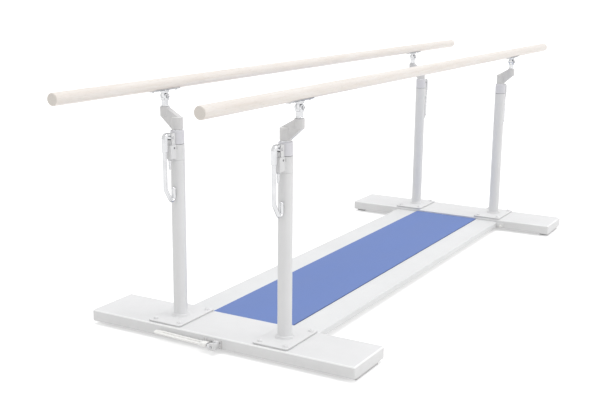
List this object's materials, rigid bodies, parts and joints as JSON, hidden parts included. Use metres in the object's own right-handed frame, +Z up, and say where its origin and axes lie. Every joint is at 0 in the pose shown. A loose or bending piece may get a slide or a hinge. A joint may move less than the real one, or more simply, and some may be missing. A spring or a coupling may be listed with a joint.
{
  "type": "parallel walking bars",
  "caption": "Parallel walking bars: round wooden handrails on height-adjustable posts with crank arms, over a low matted platform between cross beams, for gait training.",
  "frame": {"origin": "centre of the footprint, on the floor", "axes": "+Z up, Y along the handrails with the base lever's end at -Y, X across them"},
  "size_m": [1, 3, 0.845],
  "materials": {
    "pale_wood": "clear matt lacquer",
    "light_grey_paint": "satin powder coat",
    "board_coating": "smooth pale coating",
    "blue_mat": "matt, fine texture",
    "white_plastic": "satin",
    "bright_chrome": "polished",
    "zinc_plate": "zinc plated",
    "cast_grey": "grey satin",
    "rubber": "matt",
    "black_enamel": "gloss"
  },
  "bodies": {
    "frame": {"platform_board": "board_coating", "walking_mat": "blue_mat", "base_lever_bracket": "cast_grey", "cross_beam_front": "light_grey_paint", "floor_pad_front_left": "rubber", "post_front_left": "light_grey_paint", "lock_housing_front_left": "light_grey_paint", "guide_collar_front_left": "white_plastic", "gas_spring_rod_front_left": "zinc_plate", "floor_pad_front_right": "rubber", "post_front_right": "light_grey_paint", "lock_housing_front_right": "light_grey_paint", "guide_collar_front_right": "white_plastic", "gas_spring_rod_front_right": "zinc_plate", "cross_beam_rear": "light_grey_paint", "floor_pad_rear_left": "rubber", "post_rear_left": "light_grey_paint", "lock_housing_rear_left": "light_grey_paint", "guide_collar_rear_left": "white_plastic", "gas_spring_rod_rear_left": "zinc_plate", "floor_pad_rear_right": "rubber", "post_rear_right": "light_grey_paint", "lock_housing_rear_right": "light_grey_paint", "guide_collar_rear_right": "white_plastic", "gas_spring_rod_rear_right": "zinc_plate"},
    "lift_front_left": {"inner_tube_front_left": "bright_chrome", "gas_spring_cylinder_front_left": "black_enamel"},
    "arm_front_left": {"crank_arm_front_left": "cast_grey"},
    "rail_left": {"swivel_fork_front_left": "bright_chrome", "pivot_bolt_front_left": "zinc_plate", "rail_saddle_front_left": "bright_chrome", "pivot_bolt_rear_left": "zinc_plate", "rail_saddle_rear_left": "bright_chrome", "handrail_left": "pale_wood"},
    "lever_front_left": {"release_lever_front_left": "bright_chrome"},
    "shoe_front_left": {"clamp_shoe_front_left": "zinc_plate"},
    "lift_front_right": {"inner_tube_front_right": "bright_chrome", "gas_spring_cylinder_front_right": "black_enamel"},
    "arm_front_right": {"crank_arm_front_right": "cast_grey"},
    "rail_right": {"swivel_fork_front_right": "bright_chrome", "pivot_bolt_front_right": "zinc_plate", "rail_saddle_front_right": "bright_chrome", "pivot_bolt_rear_right": "zinc_plate", "rail_saddle_rear_right": "bright_chrome", "handrail_right": "pale_wood"},
    "lever_front_right": {"release_lever_front_right": "bright_chrome"},
    "shoe_front_right": {"clamp_shoe_front_right": "zinc_plate"},
    "lift_rear_left": {"inner_tube_rear_left": "bright_chrome", "gas_spring_cylinder_rear_left": "black_enamel"},
    "arm_rear_left": {"crank_arm_rear_left": "cast_grey"},
    "head_rear_left": {"swivel_fork_rear_left": "bright_chrome"},
    "lever_rear_left": {"release_lever_rear_left": "bright_chrome"},
    "shoe_rear_left": {"clamp_shoe_rear_left": "zinc_plate"},
    "lift_rear_right": {"inner_tube_rear_right": "bright_chrome", "gas_spring_cylinder_rear_right": "black_enamel"},
    "arm_rear_right": {"crank_arm_rear_right": "cast_grey"},
    "head_rear_right": {"swivel_fork_rear_right": "bright_chrome"},
    "lever_rear_right": {"release_lever_rear_right": "bright_chrome"},
    "shoe_rear_right": {"clamp_shoe_rear_right": "zinc_plate"},
    "base_lever": {"base_lever": "bright_chrome"}
  },
  "joints": [
    {"name": "lift_front_left", "type": "slide", "parent": "frame", "child": "lift_front_left", "axis": [0, 0, 1], "range_m": [0, 0.3]},
    {"name": "arm_swivel_front_left", "type": "hinge", "parent": "lift_front_left", "child": "arm_front_left", "pos_m": [-0.202, -0.992, 0.7], "axis": [0, 0, -1], "range_deg": [0, 180]},
    {"name": "head_swivel_front_left", "type": "hinge", "parent": "arm_front_left", "child": "rail_left", "pos_m": [-0.249, -0.992, 0.76], "axis": [0, 0, -1], "range_deg": [-180, 0]},
    {"name": "lever_hinge_front_left", "type": "hinge", "parent": "frame", "child": "lever_front_left", "pos_m": [-0.202, -1.029, 0.662], "axis": [-1, 0, 0], "range_deg": [0, 45]},
    {"name": "shoe_slide_front_left", "type": "slide", "parent": "frame", "child": "shoe_front_left", "axis": [0, -1, 0], "range_m": [0, 0.0015]},
    {"name": "lift_rear_left", "type": "slide", "parent": "frame", "child": "lift_rear_left", "axis": [0, 0, 1], "range_m": [0, 0.3]},
    {"name": "arm_swivel_rear_left", "type": "hinge", "parent": "lift_rear_left", "child": "arm_rear_left", "pos_m": [-0.202, 0.992, 0.7], "axis": [0, 0, -1], "range_deg": [0, 180]},
    {"name": "head_swivel_rear_left", "type": "hinge", "parent": "arm_rear_left", "child": "head_rear_left", "pos_m": [-0.249, 0.992, 0.76], "axis": [0, 0, -1], "range_deg": [-180, 0]},
    {"name": "lever_hinge_rear_left", "type": "hinge", "parent": "frame", "child": "lever_rear_left", "pos_m": [-0.202, 1.029, 0.662], "axis": [1, 0, 0], "range_deg": [0, 45]},
    {"name": "shoe_slide_rear_left", "type": "slide", "parent": "frame", "child": "shoe_rear_left", "axis": [0, 1, 0], "range_m": [0, 0.0015]},
    {"name": "lift_front_right", "type": "slide", "parent": "frame", "child": "lift_front_right", "axis": [0, 0, 1], "range_m": [0, 0.3]},
    {"name": "arm_swivel_front_right", "type": "hinge", "parent": "lift_front_right", "child": "arm_front_right", "pos_m": [0.202, -0.992, 0.7], "axis": [0, 0, 1], "range_deg": [0, 180]},
    {"name": "head_swivel_front_right", "type": "hinge", "parent": "arm_front_right", "child": "rail_right", "pos_m": [0.249, -0.992, 0.76], "axis": [0, 0, 1], "range_deg": [-180, 0]},
    {"name": "lever_hinge_front_right", "type": "hinge", "parent": "frame", "child": "lever_front_right", "pos_m": [0.202, -1.029, 0.662], "axis": [-1, 0, 0], "range_deg": [0, 45]},
    {"name": "shoe_slide_front_right", "type": "slide", "parent": "frame", "child": "shoe_front_right", "axis": [0, -1, 0], "range_m": [0, 0.0015]},
    {"name": "lift_rear_right", "type": "slide", "parent": "frame", "child": "lift_rear_right", "axis": [0, 0, 1], "range_m": [0, 0.3]},
    {"name": "arm_swivel_rear_right", "type": "hinge", "parent": "lift_rear_right", "child": "arm_rear_right", "pos_m": [0.202, 0.992, 0.7], "axis": [0, 0, 1], "range_deg": [0, 180]},
    {"name": "head_swivel_rear_right", "type": "hinge", "parent": "arm_rear_right", "child": "head_rear_right", "pos_m": [0.249, 0.992, 0.76], "axis": [0, 0, 1], "range_deg": [-180, 0]},
    {"name": "lever_hinge_rear_right", "type": "hinge", "parent": "frame", "child": "lever_rear_right", "pos_m": [0.202, 1.029, 0.662], "axis": [1, 0, 0], "range_deg": [0, 45]},
    {"name": "shoe_slide_rear_right", "type": "slide", "parent": "frame", "child": "shoe_rear_right", "axis": [0, 1, 0], "range_m": [0, 0.0015]},
    {"name": "base_lever_hinge", "type": "hinge", "parent": "frame", "child": "base_lever", "pos_m": [0.012, -1.1118, 0.029], "axis": [0, 1, 0], "range_deg": [0, 90]}
  ],
  "couplings": [
    {"joint": "shoe_slide_front_left", "follows": "lever_hinge_front_left", "m_per_rad": 0.0015},
    {"joint": "shoe_slide_rear_left", "follows": "lever_hinge_rear_left", "m_per_rad": 0.0015},
    {"joint": "lift_rear_left", "follows": "lift_front_left", "ratio": 1},
    {"joint": "arm_swivel_rear_left", "follows": "arm_swivel_front_left", "ratio": 1},
    {"joint": "head_swivel_front_left", "follows": "arm_swivel_front_left", "ratio": -1},
    {"joint": "head_swivel_rear_left", "follows": "arm_swivel_front_left", "ratio": -1},
    {"joint": "shoe_slide_front_right", "follows": "lever_hinge_front_right", "m_per_rad": 0.0015},
    {"joint": "shoe_slide_rear_right", "follows": "lever_hinge_rear_right", "m_per_rad": 0.0015},
    {"joint": "lift_rear_right", "follows": "lift_front_right", "ratio": 1},
    {"joint": "arm_swivel_rear_right", "follows": "arm_swivel_front_right", "ratio": 1},
    {"joint": "head_swivel_front_right", "follows": "arm_swivel_front_right", "ratio": -1},
    {"joint": "head_swivel_rear_right", "follows": "arm_swivel_front_right", "ratio": -1}
  ]
}
